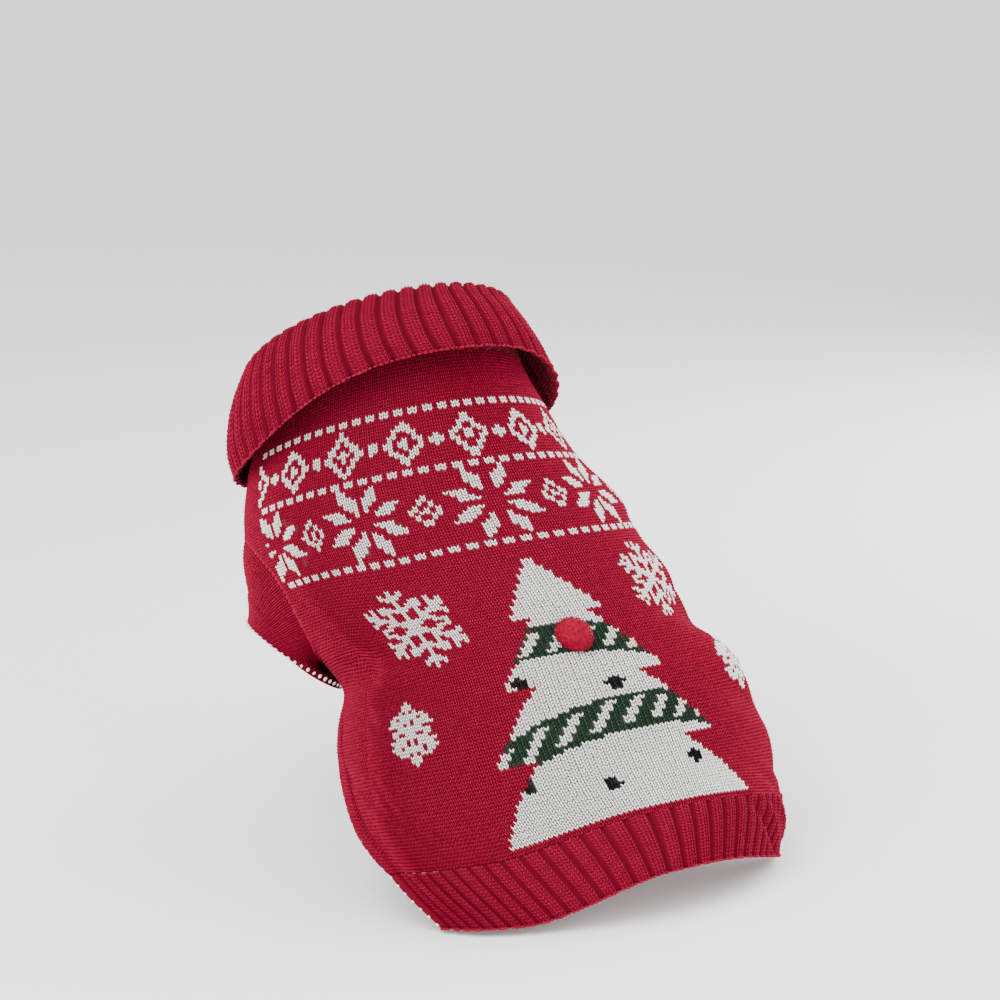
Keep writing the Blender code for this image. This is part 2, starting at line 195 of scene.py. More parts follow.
BACK_WALES = 136
BACK_COURSES = 155
BACK_SPLIT = 74  # course at which the red stitches of the back go on as a second piece
BELLY_WALES = 72
BELLY_COURSES = 96
SLEEVE_WALES = 84
SLEEVE_COURSES = 27
COLLAR_COURSES = 50
HEM_COURSES = 19
# The grids of the cloths under the stitches; a panel's rows lie before, beside and behind the leg hole
BACK_ROWS = (38, 52, 65)
BELLY_ROWS = (15, 25, 8)
COLLAR_ROWS = 50
COLLAR_COLUMNS = 276
HEM_COLUMNS = 256
WELD = 0.02 * MM  # points of a tube's two side edges that lie closer than this are one

MIDDLE = 0.15  # half of the part of a panel whose wales are drawn together, as a share of its half width
MIDDLE_POWER = 0.1
RIB_HALF = 0.36  # half width of the two plain wales of a rib, as a share of the rib
RIB_ROUNDNESS = 0.75
FURROW = 0.0007  # how far a rib's furrows sink below the garment's plain face

CLOTH_DEPTH = 0.0010  # how far the cloth under the stitches lies below the garment's outer face
EDGE_DEPTH = 0.0005  # and how far the loops at the ends of the pieces do
SEAM_OVERLAP_BACK = 0.35  # degrees by which the back's stitches go on past a leg hole's edge
SEAM_OVERLAP_BELLY = 0.3

# A stitch is two legs in a V, given across the wale (1 is one wale) and down the course (1 is one course)
LEG_FOOT = (0.06, 0.72)
LEG_HEAD = (0.42, -0.76)
LEG_HALF_WIDTH = 0.182
LEG_CENTRE = -0.00072  # height of a leg's middle over the garment's plain face
LEG_TILT = 0.00012  # how much higher its head lies than its foot
# How much stitches differ: sideways and along in wales and courses, and in height
SWAY = 0.015
SLIP = 0.03
LIFT = 0.00005
TONE_SPREAD = 0.16
LOOP_SPREAD = 0.08

# Loops and fibres each have a half length, a half width and a half height.
# White yarn links the turned edges, and its short stitches show as dots.
LINK_SIZE = (0.0010, 0.0009, 0.0016)
SLEEVE_LINKS = 50
RIM_LINK_ROW = 0.99  # share of the way down a sleeve at which its links sit
RIM_LINK_RISE = 0.0001
FREE_EDGE_LINKS = 25
FREE_EDGE_DEPTH = 0.0004
SEAM_SIZE = (0.0024, 0.0014, 0.0012)
SLEEVE_SEAM_DEPTH = 0.0006
COLLAR_EDGE_SIZE = (0.0017, 0.0009, 0.0013)
HEM_EDGE_SIZE = (0.0016, 0.0009, 0.0013)
BELLY_EDGE_SIZE = (0.0019, 0.0009, 0.0013)

LOOSE_FIBRE = (0.0011, 0.00004, 0.00004)
LOOSE_FIBRE_LEAN = 0.6
BACK_FIBRES = 12000
BACK_FIBRE_DEPTH = 0.0002
COLLAR_FIBRES = 5000
COLLAR_FIBRES_BEGIN = 0.3  # share of the collar's length, past its inner layer's lower part
FELT_FIBRE = (0.0014, 0.00009, 0.00009)
FELT_FIBRE_LEAN = 1.2
FELT_FIBRES = 2500
FIBRE_UPRIGHT = (0.1, 1.0)  # how far fibres stand up, to be weighed against their lean
FIBRE_RAISED = 0.5  # share of its half length by which a fibre's middle stands above the yarn

RED, WHITE, GREEN, BLACK = range(4)


def smooth(low, high, value):
    """Soft step from 0 at low to 1 at high."""
    share = np.clip((value - low) / (high - low), 0.0, 1.0)
    return share * share * (3 - 2 * share)


def read(table, station):
    """The columns of a table at some stations, on a smooth curve through its rows."""
    rows = np.array(table, dtype=float)
    station = np.asarray(station, dtype=float)
    here = np.clip(np.searchsorted(rows[:, 0], station, side="left") - 1, 0, len(rows) - 2)
    before = rows[np.maximum(here - 1, 0)]
    start = rows[here]
    end = rows[here + 1]
    after = rows[np.minimum(here + 2, len(rows) - 1)]
    span = end[..., :1] - start[..., :1]
    t = (station[..., None] - start[..., :1]) / span
    slope_start = (end - before) / (end[..., :1] - before[..., :1]) * span
    slope_end = (after - start) / (after[..., :1] - start[..., :1]) * span
    values = (
        (2 * t**3 - 3 * t**2 + 1) * start
        + (t**3 - 2 * t**2 + t) * slope_start
        + (3 * t**2 - 2 * t**3) * end
        + (t**3 - t**2) * slope_end
    )
    return np.moveaxis(values[..., 1:], -1, 0)


def vectors(x, y, z):
    return np.stack(np.broadcast_arrays(x, y, z), axis=-1)


def unit(vector):
    return vector / np.linalg.norm(vector, axis=-1, keepdims=True)


def on_ring(back, front, sway, half_width, widest, squareness, angle):
    """Points of sections, in metres, at angles from their back points, going to the wearer's right."""
    middle = back + (front - back) * widest[..., None]
    turn = np.radians(angle)
    along = np.sign(np.cos(turn)) * np.abs(np.cos(turn)) ** (2 / squareness)
    across = np.sign(np.sin(turn)) * np.abs(np.sin(turn)) ** (2 / squareness)
    end = np.where(along[..., None] > 0, back, front)
    point = middle + (end - middle) * np.abs(along)[..., None]
    return (point + vectors(sway + half_width * across, 0, 0)) * CM


def body_form(station, angle):
    """The body's outer form without its folds."""
    station, angle = np.broadcast_arrays(station, angle)
    sway, back_y, back_z, front_y, front_z, *ring = read(BODY, station)
    point = on_ring(vectors(0, back_y, back_z), vectors(0, front_y, front_z), sway, *ring, angle)
    side = (angle + 180) % 360 - 180
    across = smooth(*TAIL_LIFT_LEFT, side) * (1 - smooth(*TAIL_LIFT_RIGHT, side))
    lift = TAIL_LIFT * CM * across * smooth(TAIL_LIFT_TOP, 1.0, station)
    return point + vectors(0, -TAIL_LIFT_REARWARDS * lift, lift)


def collar_form(station, angle):
    """The middle of the collar's cloth."""
    station, angle = np.broadcast_arrays(station, angle)
    sway, back_out, back_up, front_out, front_up, *ring, side_drop = read(COLLAR, station)
    tilt = math.radians(NECK_TILT)
    forward = np.array((0, math.sin(tilt), -math.cos(tilt)))
    up = np.array((0, math.cos(tilt), math.sin(tilt)))
    back = up * back_up[..., None] - forward * back_out[..., None]
    front = up * front_up[..., None] + forward * front_out[..., None]
    drop = side_drop * CM * np.sin(np.radians(angle)) ** SIDE_DROP_POWER
    return on_ring(back, front, sway, *ring, angle) - up * drop[..., None]


def facing(form, station, angle):
    """Unit normals of a form, outwards on the body and on the collar's outer layer."""
    low = np.maximum(station - STATION_STEP, 0.0)
    high = np.minimum(station + STATION_STEP, 1.0)
    down = form(high, angle) - form(low, angle)
    around = form(station, angle + ANGLE_STEP) - form(station, angle - ANGLE_STEP)
    return unit(np.cross(down, around))


def fold(station, angle):
    """Height of the folds above the plain form, in metres."""
    height = np.zeros(np.shape(station))
    for fold_station, fold_angle, heading, half_length, half_width, depth in FOLDS + SMALL_FOLDS:
        down = (station - fold_station) * BODY_LENGTH
        across = ((angle - fold_angle + 180) % 360 - 180) * ROUND_PER_DEGREE
        turn = math.radians(heading)
        run = down * math.cos(turn) + across * math.sin(turn)
        off = across * math.cos(turn) - down * math.sin(turn)
        height = height + depth * np.exp(-((run / half_length) ** 2) - (off / half_width) ** 2)
    return height * CM * smooth(0.0, FOLDS_BEGIN, station)


def skin(station, angle):
    """The body's outer face with its folds."""
    station, angle = np.broadcast_arrays(station, angle)
    return body_form(station, angle) + facing(body_form, station, angle) * fold(station, angle)[..., None]


def hole_bow(station):
    """How far a leg hole is open at a station, from 0 at its ends to 1."""
    return np.sqrt(np.maximum(1 - ((station - HOLE_STATION) / HOLE_HALF) ** 2, 0.0))


def edge_angle(station, hole_angle):
    """Angle of a panel's edge, drawn in to the leg hole's own angle where the hole is."""
    plain = read(BACK_EDGE, station)[0]
    return plain + (hole_angle - plain) * hole_bow(station)


def panel_rows(end, before, beside, behind):
    """Stations of a panel's rows, close together at both ends of the leg hole, so its edge is true there."""
    return np.concatenate(
        [
            np.linspace(0.0, HOLE_STATION - HOLE_HALF, before, endpoint=False),
            HOLE_STATION - HOLE_HALF * np.cos(np.linspace(0.0, np.pi, beside + 1)),
            np.linspace(HOLE_STATION + HOLE_HALF, end, behind + 1)[1:],
        ]
    )


def turned_edge(station, share):
    """Rise of the back panel's free side edge, which is turned under below the belly panel."""
    begins = smooth(BELLY_END + TURN_FADE[0], BELLY_END + TURN_FADE[1], station)
    step = smooth(TURN_STEP - TURN_STEP_HALF, TURN_STEP + TURN_STEP_HALF, np.abs(share))
    groove = np.exp(-(((np.abs(share) - TURN_GROOVE_PLACE) / TURN_GROOVE_WIDTH) ** 2))
    return begins * (EDGE_RISE * step - TURN_GROOVE * groove)


def rib_height(phase):
    """Height of a rib across its width, 0 in the furrows and 1 on the crown."""
    return np.abs(np.sin(np.pi * phase)) ** RIB_ROUNDNESS


def rib_relief(phase):
    """Rise of a rib above the garment's plain face, in metres."""
    return (sizes().rib + FURROW) * rib_height(phase) - FURROW


# ---- Faces of the pieces: each takes places on the piece and a rise above it, and gives points ----


def on_body(station, angle, rise):
    """Points on the body, a rise above its outer face."""
    return skin(station, angle) + facing(skin, station, angle) * np.asarray(rise)[..., None]


def evened(share):
    """Draws the middle of a panel together, so its wales are as wide there as beside it."""
    return share * np.minimum(np.abs(share) / MIDDLE, 1.0) ** MIDDLE_POWER


def back_face(share, station, rise):
    """The back panel, drawn in round the leg holes, from its left edge (share -1) to its right edge."""
    plain = read(BACK_EDGE, station)[0]
    angle = evened(share) * plain + (edge_angle(station, HOLE_BACK_ANGLE) - plain) * share**3
    return on_body(station, angle, rise + turned_edge(station, share))


def back_wales(share, station, rise):
    """The back panel with its wales straight and cut off at the leg holes."""
    angle = evened(share) * read(BACK_EDGE, station)[0]
    return on_body(station, angle, rise + turned_edge(station, share))


def belly_face(share, station, rise):
    """The belly panel, from the edge on the wearer's right (share -1) to the one on its left."""
    angle = 180 + evened(share) * (180 - edge_angle(station, HOLE_BELLY_ANGLE))
    return on_body(station, angle, rise)


def hem_face(share, station, rise):
    """The hem band, its ribs fading at the free end."""
    angle = share * read(BACK_EDGE, station)[0]
    ribs = (share / HEM_BAND + 1) / 2 * HEM_RIBS
    height = np.where(np.abs(share) < HEM_BAND, rib_relief(ribs), 0.0)
    return on_body(station, angle, rise + height + turned_edge(station, share))


def collar_face(share, station, rise):
    """The collar, once round for a share of 0 to 1."""
    angle = share * 360
    offset = (WALL / 2 + rib_relief(share * COLLAR_RIBS) + rise)[..., None]
    return collar_form(station, angle) + facing(collar_form, station, angle) * offset


def sleeve_middle(side):
    """The wall of a sleeve as a function of the way round (share) and of the way down to its rim."""
    flip = np.array((-side, 1, 1))
    centre = np.array(RIM_CENTRE) * flip * CM
    long_half = np.array(RIM_LONG) * flip * CM
    wide_half = np.array(RIM_WIDE) * flip * CM

    def seam(share):
        turn = 2 * np.pi * (share % 1)
        station = HOLE_STATION - HOLE_HALF * np.cos(turn)
        rear = turn > np.pi
        angle = np.where(
            rear, edge_angle(station, HOLE_BELLY_ANGLE), edge_angle(station, HOLE_BACK_ANGLE)
        )
        return station, angle * side

    steps = np.arange(2 * HOLE_STEPS) / (2 * HOLE_STEPS)
    hole_middle = skin(*seam(steps)).mean(axis=0)

    def wall(down, share):
        turn = 2 * np.pi * share[..., None]
        station, angle = seam(share)
        start = skin(station, angle)
        begin = start + unit(hole_middle - start) * SEAM
        rim = centre - long_half * np.cos(turn) + wide_half * np.sin(turn)
        outwards = facing(skin, station, angle)
        length = np.linalg.norm(rim - begin, axis=-1)
        bulge = (SLEEVE_BULGE * length * 4 * down * (1 - down) ** 2)[..., None]
        return begin + (rim - begin) * down[..., None] + outwards * bulge

    return wall


def sleeve_face(side):
    """The face of a sleeve's cloth, once round for a share of 0 to 1 and down to the rim."""
    wall = sleeve_middle(side)

    def face(share, down, rise):
        share, down = np.broadcast_arrays(share, down)
        step = 0.5 / (2 * HOLE_STEPS)
        around = wall(down, share + step) - wall(down, share - step)
        low = np.maximum(down - SLEEVE_STEP, 0.0)
        high = np.minimum(down + SLEEVE_STEP, 1.0)
        fall = wall(high, share) - wall(low, share)
        outwards = unit(np.cross(around, fall)) * side
        hem = EDGE_RISE * smooth(*TURNED_HEM, down)
        return wall(down, share) + outwards * (rise + hem)[..., None]

    return face


# ---- The coloured motifs, charted by wale and course ----


STAR_PETAL = (0.07, 0.47)  # how far a star's petals lie from its axes, in reaches
STAR_PARTING = (0.14, 0.58)  # and how far from its diagonals
RING_INNER = 0.62
RING_HEART = 0.3
FLAKE_ARMS = 6
FLAKE_ARM_HALF = 0.24
FLAKE_TWIG_SLANT = 0.8
FLAKE_TWIGS = ((0.36, 0.36, 0.24), (0.68, 0.26, 0.22))  # place on the arm and length in reaches, half width


def between(value, limits):
    return (value > limits[0]) & (value < limits[1])


def star(x, y, reach):
    """Eight-pointed star of the old northern kind, its petals parted by thin lines."""
    long = np.maximum(np.abs(x), np.abs(y)) / reach
    short = np.minimum(np.abs(x), np.abs(y)) / reach
    return between(short, STAR_PETAL) & between(long - short, STAR_PARTING)


def diamond(x, y, reach):
    return np.abs(x) + np.abs(y) < reach


def ring_diamond(x, y, reach):
    inner = diamond(x, y, reach * RING_INNER)
    return diamond(x, y, reach) & (~inner | diamond(x, y, reach * RING_HEART))


def snowflake(x, y, reach):
    """Six-armed flake with short twigs on its arms."""
    shape = np.zeros(np.shape(x), dtype=bool)
    for arm in range(FLAKE_ARMS):
        turn = 2 * math.pi * arm / FLAKE_ARMS + math.pi / 2
        along = x * math.cos(turn) + y * math.sin(turn)
        off = np.abs(y * math.cos(turn) - x * math.sin(turn))
        shape |= between(along, (0, reach)) & (off < FLAKE_ARM_HALF)
        for root, length, half in FLAKE_TWIGS:
            twig = np.abs(along - off * FLAKE_TWIG_SLANT - reach * root)
            shape |= (twig < half) & (off < reach * length)
    return shape


# Centimetres on the knitting, down from the neck seam and across from the middle of the back
WALE = 0.345
COURSE = 0.232

MOTIFS_HALF = 17.5  # half width of the motif rows
BAND_ROWS = (3.75, 8.2, 14.4)
DIAMOND_ROW = 6.0
DIAMOND_STEP = 4.4
DIAMOND_REACH = 1.75
DIAMOND_SLIM = 1.15
DOT_REACH = 0.55
STAR_ROW = 11.2
STAR_STEP = 8.2
STAR_REACH = 2.75
SMALL_DIAMOND_REACH = 1.3
SMALL_DIAMOND_SLIM = 1.2

TREE_TIP = 15.8
TREE_BASE = 35.6
TREE_TIERS = 4
TREE_HALF_WIDTH = 9.2
TREE_NOTCH = 0.62
TREE_WIDENING = 0.4  # how much further down its cone each tier begins, in tiers
GARLANDS = ((22.6, 0.9), (28.6, -1.1))  # where a garland crosses the tree's middle, and how much it slants
GARLAND_HALF = 1.15
GARLAND_SAG = 0.03
GARLAND_BORDER = 0.72
BAUBLES = ((-3.9, 25.3), (1.4, 26.4), (-5.6, 32.0), (-1.0, 33.2), (4.7, 32.3))
BAUBLE_REACH = 0.62
FLAKES = ((-8.8, 19.6, 3.4), (8.9, 18.9, 3.2), (-12.6, 27.2, 2.3), (13.2, 26.4, 2.2))


def motif_rows(x, y):
    """White stitches of the rows below the collar: ringed diamonds and dots, then large stars."""
    from_diamond = (x + DIAMOND_STEP / 2) % DIAMOND_STEP - DIAMOND_STEP / 2
    from_dot = x % DIAMOND_STEP - DIAMOND_STEP / 2
    white = ring_diamond(from_diamond * DIAMOND_SLIM, y - DIAMOND_ROW, DIAMOND_REACH)
    white |= diamond(from_dot, y - DIAMOND_ROW, DOT_REACH)
    from_star = (x + STAR_STEP / 2) % STAR_STEP - STAR_STEP / 2
    between_stars = x % STAR_STEP - STAR_STEP / 2
    white |= star(from_star, y - STAR_ROW, STAR_REACH)
    white |= ring_diamond(between_stars * SMALL_DIAMOND_SLIM, y - STAR_ROW, SMALL_DIAMOND_REACH)
    for row in BAND_ROWS:
        white |= (np.floor(x / WALE) % 3 != 0) & (np.abs(y - row) < COURSE)
    return white & (np.abs(x) < MOTIFS_HALF)


def in_tree(x, y):
    """A tree of tiers that widen downwards, each with a notch above it."""
    tier_height = (TREE_BASE - TREE_TIP) / TREE_TIERS
    below_tip = y - TREE_TIP
    tier = np.clip(np.floor(below_tip / tier_height), 0, TREE_TIERS - 1)
    begun = tier + TREE_WIDENING
    ended = tier + (1 + TREE_WIDENING)
    widest = TREE_HALF_WIDTH * ended / (TREE_TIERS + TREE_WIDENING)
    notch = TREE_HALF_WIDTH * begun / (TREE_TIERS + TREE_WIDENING) * TREE_NOTCH
    narrow = np.where(tier > 0, notch, 0.0)
    half = narrow + (widest - narrow) * (below_tip / tier_height - tier)
    return (below_tip > 0) & (y < TREE_BASE) & (np.abs(x) < half)


def chart(wale, course):
    """Colour of each stitch of the back."""
    x = (wale + 0.5 - BACK_WALES / 2) * WALE
    y = (course + 0.5) * COURSE
    tree = in_tree(x, y)
    colour = np.where(motif_rows(x, y) | tree, WHITE, RED)
    for middle, slant in GARLANDS:
        off = y - middle - slant * x / TREE_HALF_WIDTH - GARLAND_SAG * x * x
        inside = np.abs(off) / GARLAND_HALF
        twist = (wale + course // 2) % 5 < 3
        green = tree & (inside < 1) & ((inside > GARLAND_BORDER) | twist)
        colour = np.where(green, GREEN, colour)
    for bauble_x, bauble_y in BAUBLES:
        colour = np.where(tree & diamond(x - bauble_x, y - bauble_y, BAUBLE_REACH), BLACK, colour)
    for flake_x, flake_y, reach in FLAKES:
        colour = np.where(snowflake(x - flake_x, y - flake_y, reach) & ~tree, WHITE, colour)
    return colour


# ---- Mesh helpers ----


def baked(name, work):
    """A mesh made from a finished bmesh."""
    mesh = bpy.data.meshes.new(name)
    work.to_mesh(mesh)
    work.free()
    return mesh


def linked(name, data):
    """A new object in the scene."""
    thing = bpy.data.objects.new(name, data)
    bpy.context.scene.collection.objects.link(thing)
    return thing


def add_mesh_object(name, mesh, materials):
    """A piece of the sweater."""
    for material in materials:
        mesh.materials.append(material)
    piece = linked(name, mesh)
    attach(piece, "root")
    return piece


def get_points(mesh):
    """Places of a mesh's points, one in a row."""
    flat = np.empty(len(mesh.vertices) * 3)
    mesh.vertices.foreach_get("co", flat)
    return flat.reshape(-1, 3)


def set_points(mesh, points):
    """Carries a mesh's points to new places."""
    mesh.vertices.foreach_set("co", points.reshape(-1).astype(np.float32))
    mesh.update()


def set_shaded_colour(mesh, rgb):
    """Gives every point of a cloth the colour of the yarn behind it, darkened as painted shade, for its
    material to read.
    """
    attribute = mesh.attributes.new("yarn_and_shade_behind", "FLOAT_COLOR", "POINT")
    rgba = np.concatenate([rgb, np.ones((len(rgb), 1))], axis=1)
    attribute.data.foreach_set("color", rgba.reshape(-1).astype(np.float32))


def set_tone(mesh, tone):
    """Gives every point of a mesh its yarn's tone, from 0 dark to 1 light."""
    attribute = mesh.attributes.new("tone", "FLOAT", "POINT")
    attribute.data.foreach_set("value", tone.astype(np.float32))


def grid_of_cloth(name, columns, stations, face, materials, tube=False, shade=None):
    """A cloth made from a flat grid whose points are carried to a piece's face, with a thickness behind it.

    stations are those of its rows, and shade gives the colour of the yarn behind the stitches, darkened as
    painted shade, from shares and stations.
    """
    rows = len(stations) - 1
    work = bmesh.new()
    bmesh.ops.create_grid(work, x_segments=columns, y_segments=rows, size=0.5, calc_uvs=True)
    flat_uv = work.loops.layers.uv.new("flat")
    for grid_face in work.faces:
        for loop in grid_face.loops:
            loop[flat_uv].uv = (loop.vert.co.x + 0.5, 0.5 - loop.vert.co.y)
    mesh = baked(name, work)
    points = get_points(mesh)
    share = points[:, 0] + 0.5 if tube else points[:, 0] * 2
    station = np.interp(0.5 - points[:, 1], np.linspace(0.0, 1.0, rows + 1), stations)
    set_points(mesh, face(share, station, -CLOTH_DEPTH))
    if shade:
        set_shaded_colour(mesh, shade(share, station))
    if tube:
        work = bmesh.new()
        work.from_mesh(mesh)
        bmesh.ops.remove_doubles(work, verts=work.verts, dist=WELD)
        work.to_mesh(mesh)
        work.free()
    mesh.shade_smooth()
    piece = add_mesh_object(name, mesh, materials)
    wall = piece.modifiers.new("cloth thickness", "SOLIDIFY")
    wall.thickness = sizes().cloth
    wall.offset = -1.0
    wall.use_even_offset = False
    wall.material_offset = 1
    wall.material_offset_rim = 0
    return piece


def stitch_mesh():
    """One stitch: two crossing-free legs in a V, each a slim closed form with its length along the yarn."""
    work = bmesh.new()
    uv = work.loops.layers.uv.new("yarn")
    foot = Vector(LEG_FOOT)
    head = Vector(LEG_HEAD)
    for side in (-1, 1):
        along = (head - foot) / 2
        middle = (head + foot) / 2
        across = Vector((1.0, 0.0)) * LEG_HALF_WIDTH
        made = bmesh.ops.create_uvsphere(work, u_segments=4, v_segments=2, radius=1.0)
        for vert in made["verts"]:
            x, y, z = vert.co
            place = middle + along * z + across * x
            vert.co = (place.x * side, place.y, LEG_CENTRE + sizes().yarn * y + LEG_TILT * z)
        faces = {face for vert in made["verts"] for face in vert.link_faces}
        if side < 0:
            bmesh.ops.reverse_faces(work, faces=list(faces))
        for face in faces:
            for loop in face.loops:
                point = loop.vert.co
                loop[uv].uv = (point.x, point.y)
    bmesh.ops.recalc_face_normals(work, faces=work.faces)
    return baked("stitch", work)


def repeated(name, pattern, count):
    """Copies of a small mesh, all in one place, made by one array, and their points copy by copy."""
    model = linked(name, pattern)
    array = model.modifiers.new("copies", "ARRAY")
    array.use_relative_offset = False
    array.use_constant_offset = True
    array.constant_offset_displace = (0, 0, 0)
    array.count = count
    evaluated = model.evaluated_get(bpy.context.evaluated_depsgraph_get())
    mesh = bpy.data.meshes.new_from_object(evaluated)
    bpy.data.objects.remove(model)
    bpy.data.meshes.remove(pattern)
    mesh.name = name
    return mesh, get_points(mesh).reshape(count, -1, 3)


def placed_copies(name, mesh, points, draw, spun):
    """Puts copies in their places and gives each its own tone of a yarn."""
    count, per_copy, _ = points.shape
    set_points(mesh, points)
    set_tone(mesh, np.repeat(draw.normal(0.5, TONE_SPREAD, count), per_copy).clip(0, 1))
    mesh.shade_smooth()
    return add_mesh_object(name, mesh, [yarn(spun)])


def knit(name, wale, course, place, spun, seed):
    """Stitches at given wales and courses; place carries wale, across, course, down and height to points."""
    count = len(wale)
    mesh, local = repeated(name, stitch_mesh(), count)
    across, down, height = local.transpose(2, 0, 1)
    draw = np.random.default_rng(seed)
    sway = draw.normal(0, SWAY, (count, 1))
    slip = draw.normal(0, SLIP, (count, 1))
    lift = draw.normal(0, LIFT, (count, 1))
    points = place(wale[:, None], across + sway, course[:, None], down + slip, height + lift)
    return placed_copies(name, mesh, points, draw, spun)


def chain(name, middle, along, outwards, size, spun, seed, sides=6, rings=4):
    """Small oval loops at given places; size gives half their length, width and height."""
    work = bmesh.new()
    bmesh.ops.create_uvsphere(work, u_segments=sides, v_segments=rings, radius=1.0)
    mesh, local = repeated(name, baked("loop", work), len(middle))
    local = local[..., None]
    draw = np.random.default_rng(seed)
    grown = draw.normal(1.0, LOOP_SPREAD, (len(middle), 1, 1))
    across = np.cross(along, outwards)
    points = middle[:, None] + grown * (
        along[:, None] * local[:, :, 2] * size[0]
        + across[:, None] * local[:, :, 0] * size[1]
        + outwards[:, None] * local[:, :, 1] * size[2]
    )
    return placed_copies(name, mesh, points, draw, spun)


def fibres(name, points, outwards, size, lean, spun, seed):
    """Short loose fibres that stand up or lie on the yarn; lean is how far they lie over."""
    draw = np.random.default_rng(seed)
    standing = outwards * draw.uniform(*FIBRE_UPRIGHT, (len(points), 1))
    along = unit(standing + draw.normal(0, lean, points.shape))
    upright = unit(outwards - along * (outwards * along).sum(axis=1)[:, None])
    raised = points + along * size[0] * FIBRE_RAISED
    return chain(name, raised, along, upright, size, spun, seed, sides=3, rings=2)


def edge_chain(name, place, rise, count, size, spun, seed, closed=False):
    """Loops along an edge; place carries shares of the way along it and a rise to points."""
    share = (np.arange(count) + 0.5) / count
    middle = place(share, rise)
    outwards = unit(place(share, rise + MM) - middle)
    step = 0.25 / count
    ahead = share + step if closed else np.minimum(share + step, 1.0)
    behind = share - step if closed else np.maximum(share - step, 0.0)
    along = unit(place(ahead, rise) - place(behind, rise))
    return chain(name, middle, along, outwards, size, spun, seed)


# ---- Materials ----

MIX_FIRST, MIX_SECOND, MIX_RESULT = 6, 7, 2  # a Mix node's colour sockets
RED_KNIT, RED_RIB, WHITE_YARN = "red_knit_yarn", "red_rib_yarn", "white_yarn"
GREEN_YARN, BLACK_YARN, FELT_WOOL = "green_knit_yarn", "black_knit_yarn", "red_felt_wool"
# Each yarn's setting among the colours, its sheen and the sheen's sRGB tint, and for white its darkest and
# lightest tones
YARNS = {
    RED_KNIT: ("red", 0.2, (0.95, 0.32, 0.48)),
    RED_RIB: ("rib_red", 0.2, (0.95, 0.32, 0.48)),
    WHITE_YARN: ("white", 0.3, (1, 1, 1), 0.92, 1.0),
    GREEN_YARN: ("green", 0.25, (0.7, 0.85, 0.75)),
    BLACK_YARN: ("black", 0.2, (0.6, 0.6, 0.6)),
    FELT_WOOL: ("felt", 0.2, (1.0, 0.4, 0.5)),
}
# Painted shade: the cloth behind the ribs is darkened in the furrows and lighter on the crowns
RIB_PAINTED_SHADE = (0.34, 0.4)  # share of the rib yarn's colour in a furrow, and what is added on the crown
EDGE_RIB_HEIGHT = 0.7  # height of a rib as which the hem's plain ends are shaded
# Painted shade: the cloth behind the stitches is darkened to stand for the shade in the gaps between them
BEHIND_PAINTED_SHADES = (0.45, 0.07, 0.6, 0.8)  # how light the cloth is behind red, white, green and black yarn
PURL_WAVE = 0.22  # how far the inside's yarn arcs swing, in courses


class Nodes:
    """Adds nodes to a material and joins them by name."""

    def __init__(self, name):
        self.material = bpy.data.materials.new(name)
        self.material.use_nodes = True
        self.tree = self.material.node_tree
        self.shader = self.tree.nodes["Principled BSDF"]

    def add(self, kind, settings=None, **inputs):
        node = self.tree.nodes.new("ShaderNode" + kind)
        for key, value in (settings or {}).items():
            setattr(node, key, value)
        for key, value in inputs.items():
            self.set(node, key, value)
        return node

    def set(self, node, key, value):
        socket = node.inputs[key.replace("_", " ")] if isinstance(key, str) else node.inputs[key]
        if isinstance(value, bpy.types.NodeSocket):
            self.tree.links.new(value, socket)
        else:
            socket.default_value = value

    def shade(self, **inputs):
        for key, value in inputs.items():
            self.set(self.shader, key, value)

    def maths(self, operation, *values):
        node = self.add("Math", {"operation": operation})
        for place, value in enumerate(values):
            self.set(node, place, value)
        return node.outputs[0]

    def ramp(self, share, dark, light):
        node = self.add("ValToRGB", Fac=share)
        node.color_ramp.elements[0].color = dark
        node.color_ramp.elements[1].color = light
        return node.outputs["Color"]

    def wool(self, colour, fineness, mottle, strength, depth):
        """Loose fibres all through the yarn: a mottled colour and a fine uneven surface."""
        place = self.add("TexCoord")
        noise = self.add("TexNoise", Vector=place.outputs["Object"], Scale=fineness, Detail=3.0)
        mottled = self.add("Mix", {"data_type": "RGBA", "blend_type": "MULTIPLY"}, Factor=mottle)
        self.set(mottled, MIX_FIRST, colour)
        self.set(mottled, MIX_SECOND, noise.outputs["Fac"])
        bump = self.add("Bump", Height=noise.outputs["Fac"], Strength=strength, Distance=depth)
        self.shade(Base_Color=mottled.outputs[MIX_RESULT], Normal=bump.outputs["Normal"])


def linear(colour):
    """Linear colour of an sRGB one given from 0 to 1."""
    return (*[c / 12.92 if c < 0.04 else ((c + 0.055) / 1.055) ** 2.4 for c in colour], 1.0)


def scaled(colour, factor):
    """A colour made lighter or darker by a factor."""
    return (*[c * factor for c in colour[:3]], 1.0)


def yarn_material(name, colour, sheen, sheen_tint, darkest=0.72, lightest=1.22):
    """Soft spun yarn: the tone changes from stitch to stitch and along the fibres."""
    nodes = Nodes(name)
    base = linear(colour)
    tone = nodes.add("Attribute", {"attribute_name": "tone"})
    shades = nodes.ramp(tone.outputs["Fac"], scaled(base, darkest), scaled(base, lightest))
    nodes.wool(shades, fineness=1400.0, mottle=0.25, strength=0.5, depth=0.0004)
    nodes.shade(
        Roughness=0.9,
        Sheen_Weight=sheen,
        Sheen_Roughness=0.45,
        Sheen_Tint=linear(sheen_tint),
        Specular_IOR_Level=0.06,
    )
    return nodes.material


